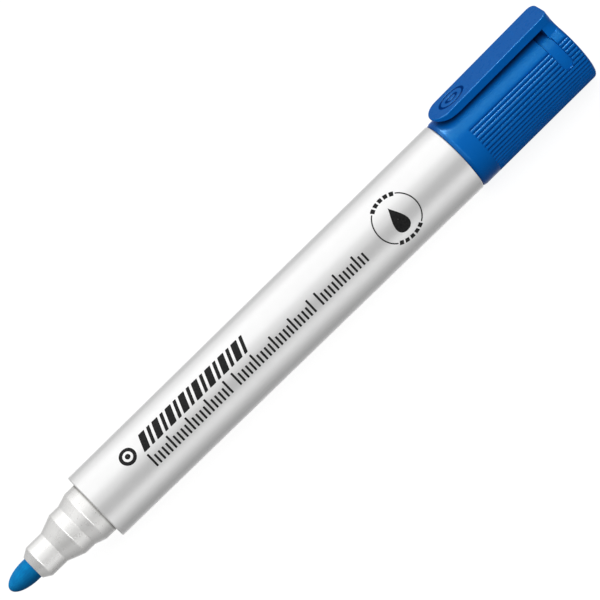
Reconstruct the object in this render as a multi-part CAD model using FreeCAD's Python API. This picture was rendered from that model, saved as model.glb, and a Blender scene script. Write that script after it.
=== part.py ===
"""Whiteboard marker with its cap pushed onto the rear end.

Millimetres. The marker's axis is X: the writing tip points to -X and the cap's closed end to +X.
The origin is on the axis at the barrel's front shoulder, where the closed cap's rim would stop.
The pocket clip is on top, towards +Z. Positions named *_X are distances along the axis from the origin.
"""

import FreeCAD, Part
import math
import os

# Barrel
BARREL_LENGTH = 95.3
BARREL_FRONT_R = 7.5
BARREL_REAR_R = 7.9
BARREL_EDGE_ROUND = 0.25
BORE_FRONT_R = 6.5
BORE_REAR_R = 6.7
INNER_RIB_COUNT = 6
INNER_RIB_WIDTH = 0.8
INNER_RIB_SETBACK = 1.0

# Nose and its plug in the barrel. Tiers are the nose's three straight rings.
COLLAR_R = 5.8
COLLAR_LENGTH = 2.55
TIER_2_R = 5.0
TIER_2_LENGTH = 2.35
TIER_1_R = 3.65
TIER_1_LENGTH = 3.9
COLLAR_CONE_LENGTH = 2.35
TIER_CONE_LENGTH = 3.5
TIP_CONE_LENGTH = 1.65
NOSE_TIP_R = 2.62
TIER_EDGE_ROUND = 0.12
NOSE_PLUG_R = 6.0
NOSE_PLUG_LENGTH = 9.5
NOSE_PLUG_ROUND = 0.3
NOSE_CAVITY_R = 4.8
NOSE_CAVITY_X = -2.0
VANE_COUNT = 4
VANE_THICKNESS = 0.8
VANE_SETBACK = 2.0
AIR_SLOT_COUNT = 3
AIR_SLOT_WIDTH = 0.5
AIR_SLOT_DEPTH = 0.4

# Nib
NIB_R = 2.33
NIB_EXPOSED = 6.0
NIB_POINT_LENGTH = 5.3
NIB_TAIL_X = 20.0
NIB_TAIL_BEVEL = 0.4

# Ink reservoir and its film
RESERVOIR_X = 9.8
RESERVOIR_END_X = 84.0
RESERVOIR_R = 5.7
FILM_THICKNESS = 0.15

# Rear plug
PLUG_LENGTH_IN_BARREL = 11.2
PLUG_SEAT_R = 6.72
PLUG_COLLAR_R = 5.75
PLUG_COLLAR_LENGTH = 2.8
PLUG_NECK_R = 5.2
PLUG_NECK_SLOPE = 0.8
PLUG_EXPOSED = 12.7
PLUG_END_ROUND = 0.8
PLUG_WALL = 1.0

# Snap beads, which stand on the two plugs and sit in grooves of the barrel's bore
BEAD_HEIGHT = 0.2
BEAD_WIDTH = 0.8
NOSE_BEAD_X = 5.5
PLUG_BEAD_X = 89.5

# Cap shell
CAP_RIM_GAP = 0.05
CAP_LENGTH = 30.65
CAP_RIM_R = 7.68
CAP_OPEN_R = 7.94
CAP_CLOSED_R = 7.74
CAP_RIM_BEVEL = 0.8
CAP_RIM_ROUND = 0.1
CAP_END_ROUND = 0.8
CAP_BORE_R = 6.9
CAP_END_BORE_R = 6.3
CAP_FLOOR_ROUND = 0.5
CAP_END_WALL = 1.6

# Grip grooves of the cap, which leave thin ribs between them
GROOVE_COUNT = 42
GROOVE_START_X = 100.0
GROOVE_RADIUS = 0.42
GROOVE_DEPTH = 0.3
SMOOTH_HALF_ANGLE = 46.8

# Plain recessed band across the ribs, under the clip's root
BAND_X = 120.9
BAND_WIDTH = 2.45
BAND_DEPTH = 0.36
BAND_HALF_ANGLE = 84.0

# Pocket clip
CLIP_WIDTH = 6.5
CLIP_TIP_X = 96.3
CLIP_ROOT_TOP = 10.58
CLIP_TIP_TOP = 9.86
CLIP_ROOT_THICKNESS = 1.9
CLIP_TIP_THICKNESS = 1.68
CLIP_LEAD_IN = 4.0
CLIP_LEAD_IN_RISE = 0.9
CLIP_EDGE_ROUND = 0.2
CLIP_TIP_PLAN_ROUND = 3.24
CLIP_ROOT_PLAN_ROUND = 1.0
LEG_LENGTH = 2.8
LEG_FOOT_WIDTH = 9.0
LEG_FOOT_Z = 6.2
LEG_KNEE_DROP = 0.8

# Cap liner
LINER_MOUTH_INSET = 0.4
LINER_MOUTH_LENGTH = 3.0
LINER_GUIDE_R = 6.85
LINER_BODY_R = 6.4
LINER_SHOULDER_SLOPE = 0.5
LINER_INNER_R = 5.5
LINER_TOE_R = 4.6
LINER_TOE_GAP = 1.5
LINER_TOE_ROUND = 0.6
LINER_DEPTH = 22.9
LINER_WALL = 0.9
LINER_FLANGE_R = 7.05
LINER_FLANGE_X = 97.5
LINER_FLANGE_WIDTH = 1.0

# Clearances between neighbouring pieces, and roundings of edges that have none of their own
FIT_GAP = 0.03
LOOSE_GAP = 0.05
EDGE_ROUND = 0.2
MOUTH_ROUND = 0.15

# How far the foot of a joined detail sinks into its piece, and how far a cutter reaches past a surface
EMBED = 0.3
OVERRUN = 0.4

AXIS = FreeCAD.Vector(1, 0, 0)
CENTRE = FreeCAD.Vector(0, 0, 0)

NOSE_TIP_X = -(COLLAR_LENGTH + COLLAR_CONE_LENGTH + TIER_2_LENGTH
               + TIER_CONE_LENGTH + TIER_1_LENGTH + TIP_CONE_LENGTH)
NIB_POINT_X = NOSE_TIP_X - NIB_EXPOSED
PLUG_END_X = BARREL_LENGTH + PLUG_EXPOSED
PLUG_START_X = BARREL_LENGTH - PLUG_LENGTH_IN_BARREL
CAP_RIM_X = BARREL_LENGTH + CAP_RIM_GAP
CAP_END_X = CAP_RIM_X + CAP_LENGTH
CAP_FLOOR_X = CAP_END_X - CAP_END_WALL
LINER_MOUTH_X = CAP_RIM_X + LINER_MOUTH_INSET
LINER_FLOOR_X = LINER_MOUTH_X + LINER_DEPTH
LINER_END_X = LINER_FLOOR_X + LINER_WALL


def rounded_corner(before, corner, after, radius):
    """Start, middle and end points of the arc that rounds a corner of an outline."""
    to_before = (before - corner).normalize()
    to_after = (after - corner).normalize()
    half_angle = to_before.getAngle(to_after) / 2
    setback = radius / math.tan(half_angle)
    bisector = (to_before + to_after).normalize()
    middle = corner + bisector * (radius / math.sin(half_angle) - radius)
    return corner + to_before * setback, middle, corner + to_after * setback


def flat_face(points):
    """Face bounded by straight lines between points, closed."""
    return Part.Face(Part.makePolygon(points + points[:1]))


def outline_face(corners):
    """Closed face in the XY plane from corners (x, y) or (x, y, rounding radius)."""
    points = [FreeCAD.Vector(c[0], c[1], 0) for c in corners]
    count = len(points)
    starts = list(points)
    ends = list(points)
    arcs = [None] * count
    for i, corner in enumerate(corners):
        if len(corner) == 3:
            arc = rounded_corner(points[i - 1], points[i], points[(i + 1) % count], corner[2])
            starts[i], arcs[i], ends[i] = arc
    edges = []
    for i in range(count):
        if arcs[i] is not None:
            edges.append(Part.Arc(starts[i], arcs[i], ends[i]).toShape())
        edges.append(Part.makeLine(ends[i], starts[(i + 1) % count]))
    return Part.Face(Part.Wire(edges))


def turned(corners):
    """Solid of revolution about the axis, from corners (x, radius) or (x, radius, rounding radius)."""
    return outline_face(corners).revolve(CENTRE, AXIS, 360)


def spun(shape, degrees):
    """Copy of a shape turned about the marker's axis."""
    copy = shape.copy()
    copy.rotate(CENTRE, AXIS, degrees)
    return copy


def around(shape, count):
    """Copies of a shape spaced evenly about the marker's axis."""
    return [spun(shape, 360 * i / count) for i in range(count)]


def radial_fin(start_x, end_x, inner_r, outer_r, thickness):
    """Flat fin along the axis, standing on top between two radii."""
    corner = FreeCAD.Vector(start_x, -thickness / 2, inner_r)
    return Part.makeBox(end_x - start_x, thickness, outer_r - inner_r, corner)


def ring(centre_x, width, inner_r, outer_r):
    """Flat-sided ring about the marker's axis."""
    low = centre_x - width / 2
    high = centre_x + width / 2
    return turned([(low, inner_r), (low, outer_r), (high, outer_r), (high, inner_r)])


def snap_bead(centre_x, base_r):
    """Bead with sloping sides on a cylinder of radius base_r; its foot is inside the cylinder."""
    foot_r = base_r - BEAD_HEIGHT
    half = BEAD_WIDTH / 2
    return turned([
        (centre_x - half, foot_r),
        (centre_x - half, base_r),
        (centre_x - half / 2, base_r + BEAD_HEIGHT),
        (centre_x + half / 2, base_r + BEAD_HEIGHT),
        (centre_x + half, base_r),
        (centre_x + half, foot_r),
    ])


def snap_groove(centre_x, bead_base_r):
    """Room for a snap bead in the bore round it."""
    outer_r = bead_base_r + BEAD_HEIGHT + LOOSE_GAP
    return ring(centre_x, BEAD_WIDTH + 2 * LOOSE_GAP, bead_base_r - BEAD_HEIGHT, outer_r)


def cap_radius(x):
    """Radius of the cap's tapered outside at a distance along the axis."""
    start_x = CAP_RIM_X + CAP_RIM_BEVEL
    share = (x - start_x) / (CAP_END_X - start_x)
    return CAP_OPEN_R + share * (CAP_CLOSED_R - CAP_OPEN_R)


def barrel():
    """Tapered tube with seats for the nose plug and the rear plug, and ribs that centre the reservoir."""
    nose_seat_r = NOSE_PLUG_R + FIT_GAP
    plug_seat_r = PLUG_SEAT_R + FIT_GAP
    tube = turned([
        (0, nose_seat_r),
        (0, BARREL_FRONT_R, BARREL_EDGE_ROUND),
        (BARREL_LENGTH, BARREL_REAR_R, BARREL_EDGE_ROUND),
        (BARREL_LENGTH, plug_seat_r),
        (RESERVOIR_END_X, plug_seat_r),
        (RESERVOIR_END_X, BORE_REAR_R),
        (NOSE_PLUG_LENGTH, BORE_FRONT_R),
        (NOSE_PLUG_LENGTH, nose_seat_r),
    ])
    rib_inner_r = RESERVOIR_R + FIT_GAP + FILM_THICKNESS + FIT_GAP
    rib_end_x = RESERVOIR_END_X - INNER_RIB_SETBACK
    rib = radial_fin(RESERVOIR_X, rib_end_x, rib_inner_r, BORE_REAR_R + EMBED, INNER_RIB_WIDTH)
    ribbed = tube.fuse(around(rib, INNER_RIB_COUNT))
    grooves = [snap_groove(NOSE_BEAD_X, NOSE_PLUG_R), snap_groove(PLUG_BEAD_X, PLUG_SEAT_R)]
    return ribbed.cut(grooves)


def nose_cone():
    """Stepped nose that holds the nib, with vanes round the nib's stem and air slots beside it."""
    bore_r = NIB_R + FIT_GAP
    tier_2_end = -(COLLAR_LENGTH + COLLAR_CONE_LENGTH)
    tier_2_start = tier_2_end - TIER_2_LENGTH
    tier_1_end = tier_2_start - TIER_CONE_LENGTH
    tier_1_start = tier_1_end - TIER_1_LENGTH
    body = turned([
        (NOSE_TIP_X, bore_r),
        (NOSE_TIP_X, NOSE_TIP_R, TIER_EDGE_ROUND),
        (tier_1_start, TIER_1_R, TIER_EDGE_ROUND),
        (tier_1_end, TIER_1_R),
        (tier_2_start, TIER_2_R, TIER_EDGE_ROUND),
        (tier_2_end, TIER_2_R),
        (-COLLAR_LENGTH, COLLAR_R, TIER_EDGE_ROUND),
        (LOOSE_GAP, COLLAR_R),
        (LOOSE_GAP, NOSE_PLUG_R),
        (NOSE_PLUG_LENGTH, NOSE_PLUG_R, NOSE_PLUG_ROUND),
        (NOSE_PLUG_LENGTH, NOSE_CAVITY_R),
        (NOSE_CAVITY_X, NOSE_CAVITY_R),
        (NOSE_CAVITY_X, bore_r),
    ])
    vane_start_x = NOSE_CAVITY_X - EMBED
    vane_end_x = NOSE_PLUG_LENGTH - VANE_SETBACK
    vane = radial_fin(vane_start_x, vane_end_x, bore_r, NOSE_CAVITY_R + EMBED, VANE_THICKNESS)
    bead = snap_bead(NOSE_BEAD_X, NOSE_PLUG_R)
    with_vanes = body.fuse(around(vane, VANE_COUNT) + [bead])
    slot_end_x = NOSE_CAVITY_X + OVERRUN
    slot_r = bore_r + AIR_SLOT_DEPTH
    slot = radial_fin(tier_1_start, slot_end_x, bore_r - OVERRUN, slot_r, AIR_SLOT_WIDTH)
    tip = FreeCAD.Vector(NOSE_TIP_X, 0, 0)
    stem = Part.makeCylinder(bore_r, NOSE_PLUG_LENGTH - NOSE_TIP_X, tip, AXIS)
    return with_vanes.cut(around(slot, AIR_SLOT_COUNT) + [stem])


def nib():
    """Bullet-shaped fibre tip on a long round stem."""
    shoulder_x = NIB_POINT_X + NIB_POINT_LENGTH
    ellipse = Part.Ellipse(FreeCAD.Vector(shoulder_x, 0, 0), NIB_POINT_LENGTH, NIB_R)
    point = Part.Arc(ellipse, math.pi / 2, math.pi).toShape()
    stem_corners = [
        (shoulder_x, NIB_R),
        (NIB_TAIL_X - NIB_TAIL_BEVEL, NIB_R),
        (NIB_TAIL_X, NIB_R - NIB_TAIL_BEVEL),
        (NIB_TAIL_X, 0),
        (NIB_POINT_X, 0),
    ]
    stem = Part.makePolygon([FreeCAD.Vector(x, r, 0) for x, r in stem_corners])
    return Part.Face(Part.Wire([point] + stem.Edges)).revolve(CENTRE, AXIS, 360)


def ink_reservoir():
    """Fibre core with a blind hole for the nib's stem."""
    hole_r = NIB_R + FIT_GAP
    hole_end = NIB_TAIL_X + LOOSE_GAP
    return turned([
        (RESERVOIR_X, hole_r),
        (RESERVOIR_X, RESERVOIR_R),
        (RESERVOIR_END_X, RESERVOIR_R),
        (RESERVOIR_END_X, 0),
        (hole_end, 0),
        (hole_end, hole_r),
    ])


def reservoir_film():
    """Thin sleeve round the fibre core."""
    inner_r = RESERVOIR_R + FIT_GAP
    length = RESERVOIR_END_X - RESERVOIR_X
    return ring(RESERVOIR_X + length / 2, length, inner_r, inner_r + FILM_THICKNESS)


def rear_plug():
    """Hollow plug that closes the barrel. Its collar, looser than the nose's, holds the cap."""
    neck_x = BARREL_LENGTH + PLUG_COLLAR_LENGTH
    body = turned([
        (PLUG_START_X, PLUG_SEAT_R - PLUG_WALL),
        (PLUG_START_X, PLUG_SEAT_R, EDGE_ROUND),
        (BARREL_LENGTH, PLUG_SEAT_R),
        (BARREL_LENGTH, PLUG_COLLAR_R),
        (neck_x, PLUG_COLLAR_R),
        (neck_x + PLUG_NECK_SLOPE, PLUG_NECK_R),
        (PLUG_END_X, PLUG_NECK_R, PLUG_END_ROUND),
        (PLUG_END_X, 0),
        (PLUG_END_X - PLUG_WALL, 0),
        (PLUG_END_X - PLUG_WALL, PLUG_NECK_R - PLUG_WALL),
        (BARREL_LENGTH - PLUG_WALL, PLUG_NECK_R - PLUG_WALL),
        (BARREL_LENGTH - PLUG_WALL, PLUG_SEAT_R - PLUG_WALL),
    ])
    return body.fuse(snap_bead(PLUG_BEAD_X, PLUG_SEAT_R))


def cap_liner():
    """Sealing cup inside the cap. Its mouth grips a collar; its flange sits in the shell's groove."""
    mouth_r = COLLAR_R + FIT_GAP
    mouth_end_x = LINER_MOUTH_X + LINER_MOUTH_LENGTH
    guide_end_x = mouth_end_x + LINER_SHOULDER_SLOPE
    toe_x = CAP_RIM_X + PLUG_EXPOSED + LINER_TOE_GAP
    cup = turned([
        (LINER_MOUTH_X, mouth_r, MOUTH_ROUND),
        (LINER_MOUTH_X, LINER_GUIDE_R, EDGE_ROUND),
        (guide_end_x, LINER_GUIDE_R),
        (guide_end_x + LINER_SHOULDER_SLOPE, LINER_BODY_R),
        (toe_x, LINER_BODY_R),
        (LINER_END_X, LINER_TOE_R + LINER_WALL, LINER_TOE_ROUND),
        (LINER_END_X, 0),
        (LINER_FLOOR_X, 0),
        (LINER_FLOOR_X, LINER_TOE_R, LINER_TOE_ROUND),
        (toe_x, LINER_INNER_R),
        (mouth_end_x, LINER_INNER_R),
        (mouth_end_x - EDGE_ROUND, mouth_r),
    ])
    flange_foot_r = LINER_GUIDE_R - EMBED
    return cup.fuse(ring(LINER_FLANGE_X, LINER_FLANGE_WIDTH, flange_foot_r, LINER_FLANGE_R))


def cap_body():
    """Tapered cup of the cap, before the clip and the grooves."""
    step_x = LINER_END_X + LOOSE_GAP
    cup = turned([
        (CAP_RIM_X, CAP_BORE_R, MOUTH_ROUND),
        (CAP_RIM_X, CAP_RIM_R, CAP_RIM_ROUND),
        (CAP_RIM_X + CAP_RIM_BEVEL, CAP_OPEN_R),
        (CAP_END_X, CAP_CLOSED_R, CAP_END_ROUND),
        (CAP_END_X, 0),
        (CAP_FLOOR_X, 0),
        (CAP_FLOOR_X, CAP_END_BORE_R, CAP_FLOOR_ROUND),
        (step_x, CAP_END_BORE_R),
        (step_x, CAP_BORE_R),
    ])
    groove_r = LINER_FLANGE_R + LOOSE_GAP
    groove_width = LINER_FLANGE_WIDTH + 2 * LOOSE_GAP
    return cup.cut(ring(LINER_FLANGE_X, groove_width, CAP_BORE_R - OVERRUN, groove_r))


def clip_plate():
    """Flat tongue of the clip: tapering side view with a sloping lead-in, round tip in plan view."""
    tip_under = CLIP_TIP_TOP - CLIP_TIP_THICKNESS
    side = [
        (CLIP_TIP_X + CLIP_LEAD_IN, tip_under),
        (CLIP_TIP_X, tip_under + CLIP_LEAD_IN_RISE),
        (CLIP_TIP_X, CLIP_TIP_TOP),
        (CAP_END_X, CLIP_ROOT_TOP),
        (CAP_END_X, CLIP_ROOT_TOP - CLIP_ROOT_THICKNESS),
    ]
    half = CLIP_WIDTH / 2
    side_face = flat_face([FreeCAD.Vector(x, -half, z) for x, z in side])
    wedge = side_face.extrude(FreeCAD.Vector(0, CLIP_WIDTH, 0))
    plan = outline_face([
        (CLIP_TIP_X, -half, CLIP_TIP_PLAN_ROUND),
        (CAP_END_X, -half, CLIP_ROOT_PLAN_ROUND),
        (CAP_END_X, half, CLIP_ROOT_PLAN_ROUND),
        (CLIP_TIP_X, half, CLIP_TIP_PLAN_ROUND),
    ])
    plate = wedge.common(plan.extrude(FreeCAD.Vector(0, 0, 2 * CLIP_ROOT_TOP)))
    mid_height = CLIP_TIP_TOP - CLIP_TIP_THICKNESS / 2
    top_edges = [edge for edge in plate.Edges if edge.BoundBox.ZMin > mid_height]
    return plate.makeFillet(CLIP_EDGE_ROUND, top_edges)


def clip_leg():
    """Root of the clip, wider where it joins the cap's round wall."""
    half_top = CLIP_WIDTH / 2
    half_foot = LEG_FOOT_WIDTH / 2
    top_z = CLIP_ROOT_TOP - CLIP_ROOT_THICKNESS + EMBED
    knee_z = top_z - LEG_KNEE_DROP
    start_x = CAP_END_X - LEG_LENGTH
    outline = [
        (-half_foot, LEG_FOOT_Z),
        (half_foot, LEG_FOOT_Z),
        (half_top, knee_z),
        (half_top, top_z),
        (-half_top, top_z),
        (-half_top, knee_z),
    ]
    section = flat_face([FreeCAD.Vector(start_x, y, z) for y, z in outline])
    leg = section.extrude(FreeCAD.Vector(LEG_LENGTH, 0, 0))
    outer_edges = []
    for edge in leg.Edges:
        box = edge.BoundBox
        if box.XMin > CAP_END_X - EMBED and box.ZLength > EMBED:
            outer_edges.append(edge)
    return leg.makeFillet(CLIP_ROOT_PLAN_ROUND, outer_edges)


def grip_grooves():
    """Cutters for the round-bottomed grooves, from the first beside the clip round to the last."""
    centre_offset = GROOVE_RADIUS - GROOVE_DEPTH
    end_x = CAP_END_X + OVERRUN
    start = FreeCAD.Vector(GROOVE_START_X, 0, cap_radius(GROOVE_START_X) + centre_offset)
    end = FreeCAD.Vector(end_x, 0, cap_radius(end_x) + centre_offset)
    along = end - start
    cutter = Part.makeCylinder(GROOVE_RADIUS, along.Length, start, along)
    cutter = cutter.fuse(Part.makeSphere(GROOVE_RADIUS, start))
    pitch = (360 - 2 * SMOOTH_HALF_ANGLE) / (GROOVE_COUNT - 1)
    return [spun(cutter, SMOOTH_HALF_ANGLE + i * pitch) for i in range(GROOVE_COUNT)]


def recessed_band():
    """Cutter for the plain band: part of a flat-sided ring with round ends, centred under the clip."""
    middle_x = BAND_X + BAND_WIDTH / 2
    end_r = BAND_WIDTH / 2
    floor_r = cap_radius(middle_x) - BAND_DEPTH
    outer_r = cap_radius(middle_x) + OVERRUN
    sweep = 2 * (BAND_HALF_ANGLE - math.degrees(end_r / floor_r))
    section = outline_face([
        (BAND_X, floor_r),
        (BAND_X, outer_r),
        (BAND_X + BAND_WIDTH, outer_r),
        (BAND_X + BAND_WIDTH, floor_r),
    ])
    sector = spun(section.revolve(CENTRE, AXIS, sweep), 90 - sweep / 2)
    post = Part.makeCylinder(end_r, outer_r, FreeCAD.Vector(middle_x, 0, 0))
    round_end = ring(middle_x, BAND_WIDTH, floor_r, outer_r).common(post)
    return sector.fuse([spun(round_end, sweep / 2), spun(round_end, -sweep / 2)])


def cap_shell():
    """Cap with its clip moulded on, ribbed round the back and cut by the plain band."""
    solid = cap_body().cut([recessed_band()] + grip_grooves())
    return solid.fuse([clip_plate(), clip_leg()]).removeSplitter()


PIECES = {
    "barrel": barrel,
    "nose_cone": nose_cone,
    "nib": nib,
    "ink_reservoir": ink_reservoir,
    "reservoir_film": reservoir_film,
    "rear_plug": rear_plug,
    "cap_liner": cap_liner,
    "cap_shell": cap_shell,
}


def main():
    """Write each piece, checked to be one closed solid."""
    os.makedirs("parts", exist_ok=True)
    for name, build in PIECES.items():
        shape = build()
        if len(shape.Solids) != 1 or not shape.isValid():
            raise ValueError(f"{name} is not one valid solid")
        shape.Solids[0].exportStep(f"parts/{name}.step")
        print(f"{name}: {shape.Volume:.1f} mm3")


main()
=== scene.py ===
"""Looks of the whiteboard marker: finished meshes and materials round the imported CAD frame.

The marker lies along X with its writing tip towards -X, and its pocket clip is on top, towards +Z.
Sizes are in millimetres until a mesh is made, and the meshes are in metres. Angles round the marker are
measured from the clip's side (+Z) towards the camera's side (-Y).
"""

import math

import bpy
import bmesh
import numpy as np
from mathutils import Matrix, Vector


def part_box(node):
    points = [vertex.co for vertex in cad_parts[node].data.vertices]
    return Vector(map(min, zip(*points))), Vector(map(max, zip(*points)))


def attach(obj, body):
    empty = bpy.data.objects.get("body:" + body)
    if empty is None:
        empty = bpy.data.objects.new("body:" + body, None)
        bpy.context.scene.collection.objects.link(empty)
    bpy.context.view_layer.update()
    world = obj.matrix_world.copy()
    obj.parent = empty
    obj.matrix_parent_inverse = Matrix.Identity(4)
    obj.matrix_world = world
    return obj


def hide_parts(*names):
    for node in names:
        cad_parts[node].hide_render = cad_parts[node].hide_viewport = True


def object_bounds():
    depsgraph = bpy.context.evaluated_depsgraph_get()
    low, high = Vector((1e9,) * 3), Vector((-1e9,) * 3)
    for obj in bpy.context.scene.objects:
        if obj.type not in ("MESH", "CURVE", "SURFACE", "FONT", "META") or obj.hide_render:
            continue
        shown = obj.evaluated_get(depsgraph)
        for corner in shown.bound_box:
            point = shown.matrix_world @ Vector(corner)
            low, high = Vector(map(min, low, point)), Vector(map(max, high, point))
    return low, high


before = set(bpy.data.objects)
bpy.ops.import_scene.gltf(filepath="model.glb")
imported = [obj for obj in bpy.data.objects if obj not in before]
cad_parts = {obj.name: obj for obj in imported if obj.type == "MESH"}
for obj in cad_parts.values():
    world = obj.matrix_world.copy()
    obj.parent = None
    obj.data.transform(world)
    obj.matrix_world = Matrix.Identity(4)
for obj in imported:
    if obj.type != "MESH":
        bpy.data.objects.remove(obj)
cad_low, cad_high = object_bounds()

MM = 0.001
# Anything shorter than this, in metres, is a leftover of a union
SLIVER = 1e-6


def ends_along_axis(node):
    """Lowest and highest X of a CAD node, in millimetres."""
    low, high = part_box(node)
    return low.x / MM, high.x / MM


# ---------------------------------------------------------------- sizes, in millimetres

NIB_POINT_X, NIB_TAIL_X = ends_along_axis("nib")
NOSE_TIP_X, NOSE_PLUG_END_X = ends_along_axis("nose_cone")
BARREL_END_X = ends_along_axis("barrel")[1]
PLUG_START_X, PLUG_END_X = ends_along_axis("rear_plug")
LINER_MOUTH_X, LINER_END_X = ends_along_axis("cap_liner")
CAP_RIM_X, CAP_END_X = ends_along_axis("cap_shell")

BARREL_FRONT_R = 7.5
BARREL_REAR_R = 7.9
BARREL_BORE_R = 6.5
BARREL_EDGE_ROUND = 0.25

COLLAR_R = 5.8
COLLAR_LENGTH = 2.55
TIER_2_R = 5.0
TIER_2_LENGTH = 2.35
TIER_1_R = 3.65
TIER_1_LENGTH = 3.9
COLLAR_CONE_LENGTH = 2.35
TIER_CONE_LENGTH = 3.5
NOSE_TIP_R = 2.62
NOSE_PLUG_R = 6.0
TIER_EDGE_ROUND = 0.8
TIER_FOOT_ROUND = 0.08
NOSE_TIP_ROUND = 0.12
NOSE_PLUG_ROUND = 0.3
# How far the collar reaches past the barrel's front shoulder, so that no gap shows
COLLAR_OVERLAP = 0.05

NIB_R = 2.33
NIB_POINT_LENGTH = 5.3
NIB_TAIL_BEVEL = 0.4
FIT_GAP = 0.03

PLUG_SEAT_R = 6.72
PLUG_NECK_R = 5.2
PLUG_COLLAR_R = 5.75
PLUG_COLLAR_LENGTH = 2.8
PLUG_COLLAR_RAMP = 0.8
PLUG_END_ROUND = 0.8
PLUG_WALL = 1.0

CAP_RIM_R = 7.68
CAP_OPEN_R = 7.934
CAP_CLOSED_R = 7.74
CAP_RIM_BEVEL = 0.8
CAP_BEVEL_ROUND = 1.0
CAP_END_ROUND = 0.8
CAP_BORE_R = 6.9
CAP_END_BORE_R = 6.3
CAP_END_WALL = 1.6
CAP_FLOOR_ROUND = 0.5

GROOVE_COUNT = 42
GROOVE_START_X = 100.0
GROOVE_DEPTH = 0.3
# 1 makes the ribs pointed, and higher values give them rounder crests
RIB_ROUNDNESS = 1.7
# Half of the zone without grooves, measured from the clip
SMOOTH_HALF_ANGLE = math.radians(46.8)

# The shallow band that crosses the grooves near the closed end
BAND_X = 120.9
BAND_WIDTH = 2.45
BAND_DEPTH = 0.36
BAND_EDGE_WIDTH = 0.16
BAND_HALF_ANGLE = math.radians(84.0)

CLIP_WIDTH = 6.5
CLIP_TIP_X = 96.3
CLIP_ROOT_TOP = 10.575
CLIP_TIP_TOP = 9.86
CLIP_ROOT_THICKNESS = 1.9
CLIP_TIP_THICKNESS = 1.68
CLIP_EDGE_ROUND = 0.2
CLIP_CORNER_ROUND = 1.6
# The clip's underside slopes up over this length at the tip, by this much
CLIP_LEAD_IN = 5.5
CLIP_LEAD_RISE = 1.15
OVAL_X = CLIP_TIP_X + 5.7
# Half length and half width of each engraved oval on the clip
OVALS = ((1.25, 0.65), (2.85, 1.75))
OVAL_DEPTH = 0.09
LEG_LENGTH = 2.8
LEG_FOOT_HALF_WIDTH = 5.1

LINER_GUIDE_R = 6.85
LINER_BODY_R = 6.4
LINER_INNER_R = 5.5
LINER_TOE_R = 4.6
LINER_WALL = 0.9
LINER_MOUTH_LENGTH = 3.0
LINER_TOE_LENGTH = 1.5

FINE_ROUND = 0.15
SMALL_ROUND = 0.2
MIDDLE_ROUND = 0.4

# Steps of each round stretch, and how far along a straight one its support points stand
ROUND_SEGMENTS = 256
ARC_STEPS = 5
CORNER_STEPS = 6
SUPPORT = 0.05
SMOOTH_ANGLE = 35
CAP_SMOOTH_ANGLE = 32


# ---------------------------------------------------------------- mesh building


def rounded_path(corners, closed=False):
    """Points along an outline of corners (x, r) or (x, r, rounding radius).

    A support point stands a little way along each straight stretch, so that shading stays flat there.
    """
    points = [Vector(c[:2]) for c in corners]
    count = len(points)
    stretches = []
    for i, corner in enumerate(corners):
        here = points[i]
        at_end = not closed and i in (0, count - 1)
        if len(corner) < 3 or at_end:
            stretches.append([here])
            continue
        back = (points[i - 1] - here).normalized()
        ahead = (points[(i + 1) % count] - here).normalized()
        half = back.angle(ahead) / 2
        radius = corner[2]
        centre = here + (back + ahead).normalized() * (radius / math.sin(half))
        first = here + back * (radius / math.tan(half)) - centre
        last = here + ahead * (radius / math.tan(half)) - centre
        turn = first.angle_signed(last)
        arc = []
        for k in range(ARC_STEPS + 1):
            arc.append(centre + Matrix.Rotation(-turn * k / ARC_STEPS, 2) @ first)
        stretches.append(arc)
    path = []
    for i in range(count):
        path.extend(stretches[i])
        if i == count - 1 and not closed:
            break
        start = stretches[i][-1]
        stop = stretches[(i + 1) % count][0]
        gap = (stop - start).length
        if gap > 4 * SUPPORT:
            along = (stop - start) / gap
            path.append(start + along * SUPPORT)
            path.append(stop - along * SUPPORT)
    return path


def mesh_object(name, vertices, faces):
    """Object from vertices in millimetres, shaded smooth except across its sharp edges."""
    mesh = bpy.data.meshes.new(name)
    mesh.from_pydata([Vector(v) * MM for v in vertices], [], faces)
    mesh.validate()
    draft = bmesh.new()
    draft.from_mesh(mesh)
    bmesh.ops.recalc_face_normals(draft, faces=draft.faces)
    draft.to_mesh(mesh)
    draft.free()
    shade(mesh, SMOOTH_ANGLE)
    piece = bpy.data.objects.new(name, mesh)
    bpy.context.scene.collection.objects.link(piece)
    return piece


def shade(mesh, smooth_angle):
    """Smooth shading, except across edges sharper than smooth_angle in degrees."""
    mesh.polygons.foreach_set("use_smooth", [True] * len(mesh.polygons))
    mesh.set_sharp_from_angle(angle=math.radians(smooth_angle))
    mesh.update()


def skin(rings, closed=False):
    """Vertices and faces of a skin over rings of equal length; a ring of one point is a pole."""
    vertices = []
    starts = []
    for ring in rings:
        starts.append(len(vertices))
        vertices.extend(ring)
    faces = []
    count = len(rings)
    for i in range(count if closed else count - 1):
        j = (i + 1) % count
        n = max(len(rings[i]), len(rings[j]))
        for k in range(n):
            m = (k + 1) % n
            corners = []
            if len(rings[i]) == 1:
                corners.append(starts[i])
            else:
                corners.extend([starts[i] + k, starts[i] + m])
            if len(rings[j]) == 1:
                corners.append(starts[j])
            else:
                corners.extend([starts[j] + m, starts[j] + k])
            faces.append(corners)
    return vertices, faces


def on_round(x, r, angle):
    """Point at a distance along the axis, a radius and an angle round the marker."""
    return (x, -r * math.sin(angle), r * math.cos(angle))


def even_angles(count):
    """Angles of a full turn in equal steps."""
    return [2 * math.pi * k / count for k in range(count)]


def ring_at(x, r, angles):
    """Ring of points, or the pole when the radius is nothing."""
    on_axis = 1e-6
    if r < on_axis:
        return [(x, 0.0, 0.0)]
    return [on_round(x, r, a) for a in angles]


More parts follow.
